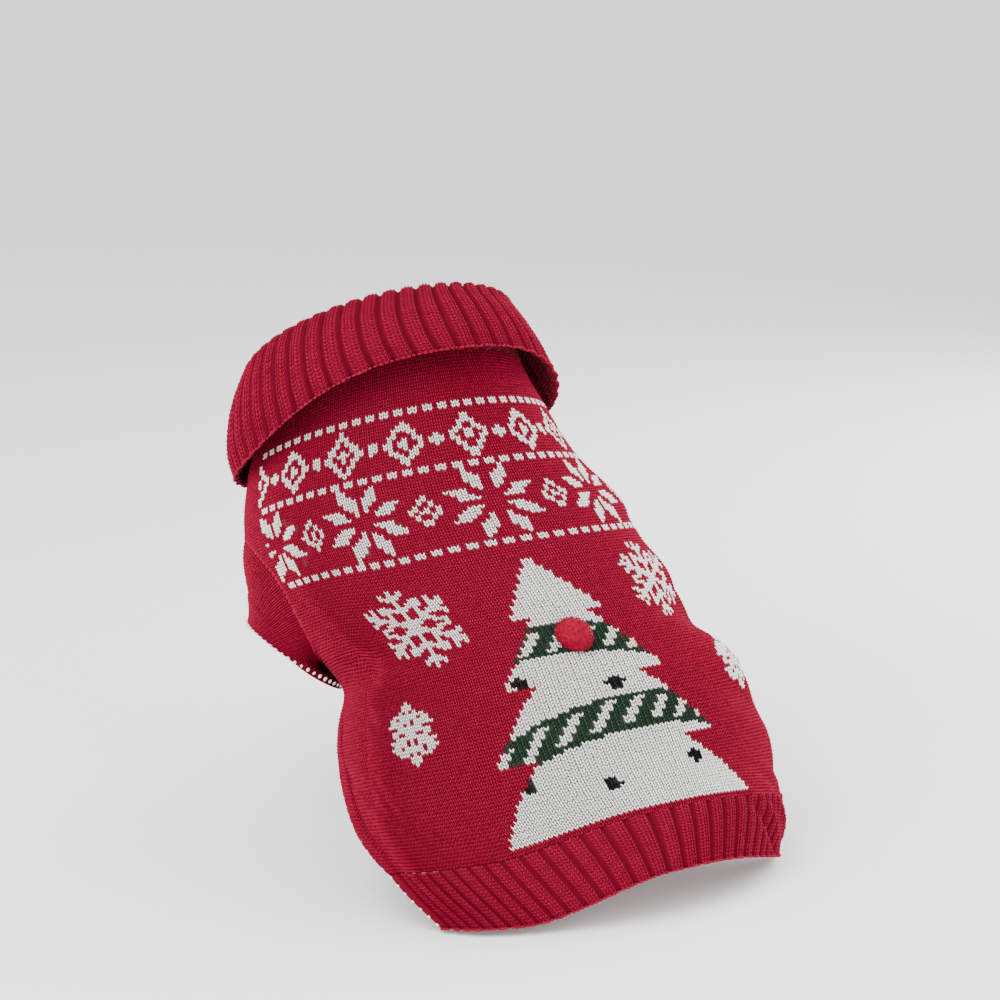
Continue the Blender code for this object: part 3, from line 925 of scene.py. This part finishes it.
def cloth_material(name, colour=None):
    """The cloth behind the stitches, darkened as painted shade between them; one without a colour takes it
    point by point.
    """
    nodes = Nodes(name)
    if colour is None:
        shown = nodes.add("Attribute", {"attribute_name": "yarn_and_shade_behind"}).outputs["Color"]
    else:
        # painted shade: the cloth is half as light as its yarn
        shown = scaled(linear(colour), 0.5)
    nodes.wool(shown, fineness=1100.0, mottle=0.4, strength=0.6, depth=0.0005)
    nodes.shade(Roughness=0.95, Sheen_Weight=0.0, Specular_IOR_Level=0.05)
    return nodes.material


def cloth_materials(name, colour, wales, courses, painted=False):
    """Materials of a cloth's two faces, for the wales and courses that show on its inside."""
    outside = cloth_material(name + "_ground", None if painted else colour)
    return [outside, purl_material(name + "_inside", colour, wales, courses)]


def purl_material(name, colour, wales, courses):
    """The inside of the knit: short yarn arcs in staggered rows, drawn on the cloth's own layout, with painted
    shade darkening the grooves between the arcs.
    """
    nodes = Nodes(name)
    base = linear(colour)
    layout = nodes.add("UVMap", {"uv_map": "flat"})
    spread = nodes.add("Mapping", Vector=layout.outputs["UV"], Scale=(wales, courses, 1.0))
    parts = nodes.add("SeparateXYZ", Vector=spread.outputs["Vector"])
    swing = nodes.maths("SINE", nodes.maths("MULTIPLY", parts.outputs["X"], 2 * math.pi))
    bent = nodes.maths("MULTIPLY_ADD", swing, PURL_WAVE, parts.outputs["Y"])
    rows = nodes.maths("SINE", nodes.maths("MULTIPLY", bent, 2 * math.pi))
    height = nodes.add("MapRange", Value=rows, From_Min=-1.0)
    bump = nodes.add("Bump", Height=height.outputs["Result"], Strength=0.8, Distance=0.0008)
    nodes.shade(
        # painted shade: the colour darkens to about a third in the grooves between the arcs
        Base_Color=nodes.ramp(height.outputs["Result"], scaled(base, 0.35), scaled(base, 1.0)),
        Normal=bump.outputs["Normal"],
        Roughness=0.95,
        Sheen_Weight=0.05,
        Specular_IOR_Level=0.05,
    )
    return nodes.material


# ---- Settings ----


def colour_property(name, description, default):
    return FloatVectorProperty(
        name=name, description=description, default=default, subtype="COLOR", min=0, max=1
    )


def length_property(name, description, default):
    return FloatProperty(name=name, description=description, default=default, unit="LENGTH", precision=5)


def power_property(name, description, default):
    return FloatProperty(name=name, description=description, default=default, unit="POWER")


def number_property(name, description, default):
    return FloatProperty(name=name, description=description, default=default)


class YarnColours(bpy.types.PropertyGroup):
    red: colour_property("Red yarn", "sRGB colour of the body's yarn", (0.54, 0.05, 0.17))
    rib_red: colour_property("Rib yarn", "sRGB colour of the collar and hem", (0.52, 0.05, 0.165))
    white: colour_property("White yarn", "sRGB colour of the motifs", (0.98, 0.975, 0.95))
    green: colour_property("Green yarn", "sRGB colour of the garlands", (0.085, 0.155, 0.105))
    black: colour_property("Black yarn", "sRGB colour of the small baubles", (0.05, 0.045, 0.05))
    felt: colour_property("Felt", "sRGB colour of the pompom", (0.58, 0.05, 0.17))


class KnitSizes(bpy.types.PropertyGroup):
    cloth: length_property("Cloth", "Thickness of the cloth behind the stitches", 0.0017)
    yarn: length_property("Yarn", "Half the height of a stitch's legs", 0.00078)
    rib: length_property("Rib", "Rise of the collar's and hem's ribs above the plain face", 0.0015)
    pompom_radius: length_property("Pompom radius", "Radius of the pompom before it is pressed flat", 0.0112)
    pompom_height: length_property("Pompom height", "Height of the pompom above the knit", 0.0105)


class StageSettings(bpy.types.PropertyGroup):
    azimuth: number_property("Azimuth", "Camera's turn round the sweater, in degrees", -32.0)
    elevation: number_property("Elevation", "Camera's height, in degrees", 9.0)
    distance: length_property("Distance", "Camera to neck opening", 2.0)
    focal: number_property("Focal length", "In millimetres on a 36 mm frame", 111.6)
    aim_right: length_property("Aim right", "Middle of the view right of the neck", 0.0742)
    aim_down: length_property("Aim down", "Middle of the view below the neck", 0.1067)
    key_light: power_property("Key light", "Main soft light", 56.0)
    fill_light: power_property("Fill light", "Fill light", 20.0)
    rim_light: power_property("Rim light", "Light from behind", 44.0)
    surround: number_property("Surround", "Strength of the white surround", 1.5)


def colours():
    return bpy.context.scene.sweater_colours


def sizes():
    return bpy.context.scene.sweater_sizes


def yarn(name):
    """A yarn's material, made once for all the pieces knitted with it."""
    colour, *settings = YARNS[name]
    return bpy.data.materials.get(name) or yarn_material(name, getattr(colours(), colour), *settings)


def rib_painted_shade(height):
    """Colour of the cloth behind a rib's stitches, with painted shade darkest in its furrows, from the rib's
    height there.
    """
    base = np.array(linear(colours().rib_red)[:3])
    return base * (RIB_PAINTED_SHADE[0] + RIB_PAINTED_SHADE[1] * height)[:, None]


# ---- Pieces ----


def all_cells(wales, courses):
    """Wale and course of every stitch of a piece."""
    course, wale = np.divmod(np.arange(wales * courses), wales)
    return wale, course


def rib_place(wale, across):
    """Where a stitch lies across the ribs, each with its two wales side by side on the crown."""
    return wale // 2 + 0.5 + ((wale % 2) - 0.5 + across) * RIB_HALF


def back_place(wale, across, course, down, height):
    """Carries points of the back's stitches to their places."""
    share = (wale + 0.5 + across) / BACK_WALES * 2 - 1
    station = (course + 0.5 + down) / BACK_COURSES * RIB_TOP
    return back_wales(share, np.clip(station, 0.0, 1.0), height)


def back_cloth():
    """The cloth behind the back's stitches, painted dark in their colours as painted shade between them."""
    chosen = colours()
    yarns = (chosen.red, chosen.white, chosen.green, chosen.black)
    # painted shade: each yarn's colour darkened to stand for the shade between the stitches
    shades = np.array([scaled(linear(colour), part)[:3] for colour, part in zip(yarns, BEHIND_PAINTED_SHADES)])

    def behind(share, station):
        wale = np.clip((share + 1) / 2 * BACK_WALES, 1, BACK_WALES - 2).astype(int)
        course = (station / RIB_TOP * BACK_COURSES).astype(int)
        code = chart(wale, course)
        for sideways, lengthways in ((-1, 0), (1, 0), (0, -1), (0, 1)):
            beside_red = chart(wale + sideways, course + lengthways) == RED
            code = np.where(beside_red, RED, code)
        return shades[code]

    rows = panel_rows(RIB_TOP, *BACK_ROWS)
    materials = cloth_materials("back", chosen.red, BACK_WALES, BACK_COURSES, painted=True)
    return grid_of_cloth("back_panel_cloth", BACK_WALES, rows, back_face, materials, shade=behind)


def back_stitches():
    """The back's stitches, one piece for each colour, and two for the red ones."""
    wale, course = all_cells(BACK_WALES, BACK_COURSES)
    station = (course + 0.5) / BACK_COURSES * RIB_TOP
    share = (wale + 0.5) / BACK_WALES * 2 - 1
    angle = np.abs(share * read(BACK_EDGE, station)[0])
    kept = angle < edge_angle(station, HOLE_BACK_ANGLE) + SEAM_OVERLAP_BACK
    wale, course = wale[kept], course[kept]
    code = chart(wale, course)
    upper = course < BACK_SPLIT
    pieces = []
    for name, cells, spun in (
        ("back_stitches_red_upper", (code == RED) & upper, RED_KNIT),
        ("back_stitches_red_lower", (code == RED) & ~upper, RED_KNIT),
        ("back_stitches_white", code == WHITE, WHITE_YARN),
        ("back_stitches_green", code == GREEN, GREEN_YARN),
        ("back_stitches_black", code == BLACK, BLACK_YARN),
    ):
        seed = len(pieces) + 1
        pieces.append(knit(name, wale[cells], course[cells], back_place, spun, seed))
    return pieces


def back_wool():
    """Loose fibres on the red of the back."""
    at = np.random.default_rng(6).uniform(0.0, 1.0, (BACK_FIBRES, 2))
    station, share = at[:, 0] * RIB_TOP, at[:, 1] * 2 - 1
    angle = evened(share) * read(BACK_EDGE, station)[0]
    on_red = chart((at[:, 1] * BACK_WALES).astype(int), (at[:, 0] * BACK_COURSES).astype(int)) == RED
    on_red &= np.abs(angle) < edge_angle(station, HOLE_BACK_ANGLE)
    station, angle = station[on_red], angle[on_red]
    points = on_body(station, angle, -BACK_FIBRE_DEPTH)
    outwards = facing(skin, station, angle)
    return fibres("back_fibres", points, outwards, LOOSE_FIBRE, LOOSE_FIBRE_LEAN, RED_KNIT, seed=7)


def free_edge_links(name, side):
    """White links down one free side edge of the back."""

    def place(way, rise):
        station = BELLY_END + way * (1 - BELLY_END)
        return on_body(station, side * read(BACK_EDGE, station)[0], rise)

    return edge_chain(name, place, -FREE_EDGE_DEPTH, FREE_EDGE_LINKS, LINK_SIZE, WHITE_YARN, seed=8 + side)


class SWEATER_OT_back_panel(bpy.types.Operator):
    """Knits the back panel with its motifs"""

    bl_idname = "sweater.back_panel"
    bl_label = "Back panel"

    def execute(self, context):
        cloth = back_cloth()
        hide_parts("back_panel")
        pieces = back_stitches()
        wool = back_wool()
        free_edge_links("edge_links_left", -1)
        free_edge_links("edge_links_right", 1)
        return {"FINISHED"}


def belly_cloth():
    rows = panel_rows(BELLY_END, *BELLY_ROWS)
    materials = cloth_materials("belly", colours().red, BELLY_WALES, BELLY_COURSES)
    return grid_of_cloth("belly_panel_cloth", BELLY_WALES // 2, rows, belly_face, materials)


def belly_stitches():
    def place(wale, across, course, down, height):
        share = (wale + 0.5 + across) / BELLY_WALES * 2 - 1
        station = np.clip((course + 0.5 + down) / BELLY_COURSES * BELLY_END, 0.0, 1.0)
        return on_body(station, 180 + evened(share) * (180 - read(BACK_EDGE, station)[0]), height)

    wale, course = all_cells(BELLY_WALES, BELLY_COURSES)
    station = (course + 0.5) / BELLY_COURSES * BELLY_END
    share = (wale + 0.5) / BELLY_WALES * 2 - 1
    reach = np.abs(share) * (180 - read(BACK_EDGE, station)[0])
    kept = reach < 180 - edge_angle(station, HOLE_BELLY_ANGLE) + SEAM_OVERLAP_BELLY
    return knit("belly_stitches", wale[kept], course[kept], place, RED_KNIT, seed=11)


def belly_edge():
    def place(way, rise):
        angle = 180 + (way * 2 - 1) * (180 - edge_angle(BELLY_END, HOLE_BELLY_ANGLE))
        return on_body(BELLY_END, angle, rise)

    return edge_chain("belly_edge", place, -EDGE_DEPTH, BELLY_WALES, BELLY_EDGE_SIZE, RED_KNIT, seed=12)


class SWEATER_OT_belly_panel(bpy.types.Operator):
    """Knits the belly panel"""

    bl_idname = "sweater.belly_panel"
    bl_label = "Belly panel"

    def execute(self, context):
        cloth = belly_cloth()
        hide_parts("belly_panel")
        stitches = belly_stitches()
        bound = belly_edge()
        return {"FINISHED"}


def hem_cloth():
    """The cloth behind the hem's stitches, with painted shade darkest in the furrows between the ribs."""

    def behind(share, station):
        ribs = (share / HEM_BAND + 1) / 2 * HEM_RIBS
        return rib_painted_shade(np.where(np.abs(share) < HEM_BAND, rib_height(ribs), EDGE_RIB_HEIGHT))

    rows = np.linspace(HEM_TOP, 1.0, HEM_COURSES + 1)
    materials = cloth_materials("hem", colours().rib_red, HEM_RIBS * 4, HEM_COURSES, painted=True)
    return grid_of_cloth("hem_rib_cloth", HEM_COLUMNS, rows, hem_face, materials, shade=behind)


def hem_stitches():
    def place(wale, across, course, down, height):
        share = HEM_BAND * (2 * rib_place(wale, across) / HEM_RIBS - 1)
        station = HEM_TOP + (course + 0.5 + down) / HEM_COURSES * (1 - HEM_TOP)
        return hem_face(share, np.clip(station, 0.0, 1.0), height)

    return knit("hem_stitches", *all_cells(HEM_RIBS * 2, HEM_COURSES), place, RED_RIB, seed=21)


def hem_edge():
    def place(way, rise):
        return hem_face(way * 2 - 1, 1.0, rise)

    return edge_chain("hem_edge", place, -EDGE_DEPTH, HEM_RIBS * 4, HEM_EDGE_SIZE, RED_RIB, seed=22)


class SWEATER_OT_hem(bpy.types.Operator):
    """Knits the ribbed hem band"""

    bl_idname = "sweater.hem"
    bl_label = "Hem band"

    def execute(self, context):
        cloth = hem_cloth()
        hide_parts("hem_rib")
        stitches = hem_stitches()
        bound = hem_edge()
        return {"FINISHED"}


def collar_cloth():
    """The cloth behind the collar's stitches, with painted shade darkest in the furrows between the ribs."""

    def behind(share, station):
        return rib_painted_shade(rib_height(share * COLLAR_RIBS))

    rows = np.linspace(0.0, 1.0, COLLAR_ROWS + 1)
    materials = cloth_materials("collar", colours().rib_red, COLLAR_RIBS * 4, COLLAR_COURSES, painted=True)
    return grid_of_cloth(
        "collar_cloth", COLLAR_COLUMNS, rows, collar_face, materials, tube=True, shade=behind
    )


def collar_stitches():
    def place(wale, across, course, down, height):
        station = np.clip((course + 0.5 + down) / COLLAR_COURSES, 0.0, 1.0)
        return collar_face(rib_place(wale, across) / COLLAR_RIBS, station, height)

    return knit("collar_stitches", *all_cells(COLLAR_RIBS * 2, COLLAR_COURSES), place, RED_RIB, seed=31)


def collar_wool():
    """Loose fibres on the collar."""
    draw = np.random.default_rng(33)
    share = draw.uniform(0.0, 1.0, COLLAR_FIBRES)
    station = draw.uniform(COLLAR_FIBRES_BEGIN, 1.0, COLLAR_FIBRES)
    points = collar_face(share, station, 0.0)
    outwards = facing(collar_form, station, share * 360)
    return fibres("collar_fibres", points, outwards, LOOSE_FIBRE, LOOSE_FIBRE_LEAN, RED_RIB, seed=34)


def collar_edge():
    def place(way, rise):
        return collar_face(way, 1.0, rise)

    count, size = COLLAR_RIBS * 4, COLLAR_EDGE_SIZE
    return edge_chain("collar_edge", place, -EDGE_DEPTH, count, size, RED_RIB, seed=32, closed=True)


def neck_seam():
    """The seam that joins the collar to the panels, hidden below its fold."""

    def place(way, rise):
        return on_body(0.0, (way * 360 + 180) % 360 - 180, rise)

    depth, count = sizes().cloth, COLLAR_RIBS * 3
    return edge_chain("neck_seam", place, -depth, count, SEAM_SIZE, RED_RIB, seed=35, closed=True)


class SWEATER_OT_collar(bpy.types.Operator):
    """Knits the folded ribbed collar"""

    bl_idname = "sweater.collar"
    bl_label = "Collar"

    def execute(self, context):
        cloth = collar_cloth()
        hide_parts("collar")
        stitches = collar_stitches()
        seam = neck_seam()
        wool = collar_wool()
        bound = collar_edge()
        return {"FINISHED"}


def sleeve_cloth(name, side, face):
    """A sleeve's cloth; the right one runs round the other way, so that its stitched side is outside."""

    def mirrored(share, station, rise):
        return face(share if side < 0 else 1 - share, station, rise)

    rows = np.linspace(0.0, 1.0, SLEEVE_COURSES + 1)
    materials = cloth_materials(name, colours().red, SLEEVE_WALES, SLEEVE_COURSES)
    return grid_of_cloth(name + "_cloth", SLEEVE_WALES, rows, mirrored, materials, tube=True)


def sleeve_stitches(name, face):
    def place(wale, across, course, down, height):
        share = (wale + 0.5 + across) / SLEEVE_WALES
        return face(share % 1, np.clip((course + 0.5 + down) / SLEEVE_COURSES, 0.0, 1.0), height)

    return knit(name + "_stitches", *all_cells(SLEEVE_WALES, SLEEVE_COURSES), place, RED_KNIT, seed=41)


def sleeve_chain(name, face, down, rise, count, size, spun, seed):
    """Loops round a sleeve, a share of the way down to its rim."""

    def place(way, rise):
        return face(way % 1, down, rise)

    return edge_chain(name, place, rise, count, size, spun, seed, closed=True)


class SWEATER_OT_sleeves(bpy.types.Operator):
    """Knits the two short sleeves"""

    bl_idname = "sweater.sleeves"
    bl_label = "Sleeves"

    def execute(self, context):
        for name, side in (("sleeve_left", -1), ("sleeve_right", 1)):
            face = sleeve_face(side)
            cloth = sleeve_cloth(name, side, face)
            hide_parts(name)
            stitches = sleeve_stitches(name, face)
            seam = sleeve_chain(
                name + "_seam", face, 0.0, -SLEEVE_SEAM_DEPTH, SLEEVE_WALES, SEAM_SIZE, RED_KNIT, seed=44
            )
            row, rise = RIM_LINK_ROW, RIM_LINK_RISE
            sleeve_chain(name + "_links", face, row, rise, SLEEVE_LINKS, LINK_SIZE, WHITE_YARN, seed=43)
        return {"FINISHED"}


def pompom_felt(seat, turn, size):
    """The pompom's body: a ball with a flat foot."""
    work = bmesh.new()
    bmesh.ops.create_icosphere(work, subdivisions=5, radius=1.0)
    for vert in work.verts:
        vert.co.z = max(vert.co.z, -POMPOM_CUT)
        vert.co = seat + turn @ ((vert.co + Vector((0, 0, POMPOM_CUT))) * size)
    mesh = baked("pompom_felt", work)
    mesh.shade_smooth()
    set_tone(mesh, np.full(len(mesh.vertices), 0.5))
    return add_mesh_object("pompom_felt", mesh, [yarn(FELT_WOOL)])


def pompom_wool(seat, turn, size):
    """Loose fibres all over the pompom."""
    draw = np.random.default_rng(51)
    up = draw.uniform(-POMPOM_CUT, 1.0, FELT_FIBRES)
    turned = draw.uniform(0, 2 * math.pi, FELT_FIBRES)
    round_up = np.sqrt(1 - up**2)
    ball = vectors(round_up * np.cos(turned), round_up * np.sin(turned), up)
    place = np.array(turn)
    points = np.array(seat) + (ball + (0, 0, POMPOM_CUT)) * np.array(size) @ place.T
    outwards = unit(ball @ place.T)
    return fibres("pompom_fibres", points, outwards, FELT_FIBRE, FELT_FIBRE_LEAN, FELT_WOOL, seed=52)


class SWEATER_OT_pompom(bpy.types.Operator):
    """Makes the felted pompom"""

    bl_idname = "sweater.pompom"
    bl_label = "Pompom"

    def execute(self, context):
        chosen = sizes()
        station = np.array(POMPOM_STATION)
        angle = np.array(0.0)
        outwards = Vector(facing(skin, station, angle))
        seat = Vector(skin(station, angle)) + outwards * SEAM
        turn = outwards.to_track_quat("Z", "Y").to_matrix()
        size = Vector((chosen.pompom_radius, chosen.pompom_radius, chosen.pompom_height / (1 + POMPOM_CUT)))
        pompom = pompom_felt(seat, turn, size)
        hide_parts("pompom")
        wool = pompom_wool(seat, turn, size)
        return {"FINISHED"}


# ---- Stage ----

FLOOR_HALF = 12.0
FLOOR_GAP = 0.002
LIGHT_DISTANCE = 1.8


def add_floor(height):
    """A wide pale floor, kept out of the part."""
    work = bmesh.new()
    bmesh.ops.create_grid(work, x_segments=1, y_segments=1, size=FLOOR_HALF)
    bmesh.ops.translate(work, verts=work.verts, vec=(0, 0, height))
    mesh = baked("floor", work)
    nodes = Nodes("pale_floor")
    nodes.shade(Base_Color=(0.93, 0.93, 0.93, 1), Roughness=0.8)
    mesh.materials.append(nodes.material)
    floor = linked("floor", mesh)
    floor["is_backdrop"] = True


def aimed(name, data, location, aim):
    """A camera or light at a place, turned to look at another."""
    thing = linked(name, data)
    thing.location = location
    thing.rotation_mode = "QUATERNION"
    thing.rotation_quaternion = (aim - location).to_track_quat("-Z", "Y")
    return thing


def add_light(name, location, aim, size, power):
    data = bpy.data.lights.new(name, "AREA")
    data.shape = "SQUARE"
    data.size = size
    data.energy = power
    aimed(name, data, location, aim)


class SWEATER_OT_stage(bpy.types.Operator):
    """Sets the floor, the soft lights and the camera"""

    bl_idname = "sweater.stage"
    bl_label = "Stage"

    def execute(self, context):
        scene = context.scene
        chosen = scene.sweater_stage
        turn, rise = math.radians(chosen.azimuth), math.radians(chosen.elevation)
        back = Vector((math.sin(turn) * math.cos(rise), -math.cos(turn) * math.cos(rise), math.sin(rise)))
        right = Vector((math.cos(turn), math.sin(turn), 0))
        up = back.cross(right)
        low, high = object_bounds()
        add_floor(low.z - FLOOR_GAP)

        camera_data = bpy.data.cameras.new("camera")
        camera_data.lens = chosen.focal
        camera_data.sensor_width = 36.0
        camera_data.clip_end = 50.0
        aim = right * chosen.aim_right - up * chosen.aim_down
        scene.camera = aimed("camera", camera_data, back * chosen.distance, aim)

        middle = (low + high) / 2
        for name, direction, size, power in (
            ("key", -right * 0.7 + up * 0.9 + back * 1.0, 1.4, chosen.key_light),
            ("fill", right * 1.0 + up * 0.3 + back * 0.9, 1.6, chosen.fill_light),
            ("rim", right * 1.1 + up * 0.6 - back * 0.8, 1.2, chosen.rim_light),
        ):
            add_light(name, middle + direction.normalized() * LIGHT_DISTANCE, middle, size, power)
        world = bpy.data.worlds.new("studio")
        world.use_nodes = True
        background = world.node_tree.nodes["Background"]
        background.inputs["Color"].default_value = (1, 1, 1, 1)
        background.inputs["Strength"].default_value = chosen.surround
        scene.world = world
        return {"FINISHED"}


class SWEATER_PT_panel(bpy.types.Panel):
    """Lists the settings and the steps"""

    bl_label = "Knitted Dog Sweater"
    bl_idname = "SWEATER_PT_panel"
    bl_space_type = "VIEW_3D"
    bl_region_type = "UI"
    bl_category = "Sweater"

    def draw(self, context):
        scene = context.scene
        for group in (scene.sweater_colours, scene.sweater_sizes, scene.sweater_stage):
            box = self.layout.box()
            for key in group.__annotations__:
                box.prop(group, key)
        for operator in OPERATORS:
            self.layout.operator(operator.bl_idname)


OPERATORS = (
    SWEATER_OT_back_panel,
    SWEATER_OT_belly_panel,
    SWEATER_OT_hem,
    SWEATER_OT_collar,
    SWEATER_OT_sleeves,
    SWEATER_OT_pompom,
    SWEATER_OT_stage,
)
CLASSES = (YarnColours, KnitSizes, StageSettings, *OPERATORS, SWEATER_PT_panel)


def register():
    for item in CLASSES:
        bpy.utils.register_class(item)
    bpy.types.Scene.sweater_colours = PointerProperty(type=YarnColours)
    bpy.types.Scene.sweater_sizes = PointerProperty(type=KnitSizes)
    bpy.types.Scene.sweater_stage = PointerProperty(type=StageSettings)


def unregister():
    del bpy.types.Scene.sweater_stage
    del bpy.types.Scene.sweater_sizes
    del bpy.types.Scene.sweater_colours
    for item in reversed(CLASSES):
        bpy.utils.unregister_class(item)


def main():
    register()
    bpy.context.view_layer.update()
    for name in ("back_panel", "belly_panel", "hem", "collar", "sleeves", "pompom", "stage"):
        getattr(bpy.ops.sweater, name)()


if __name__ == "__main__":
    main()
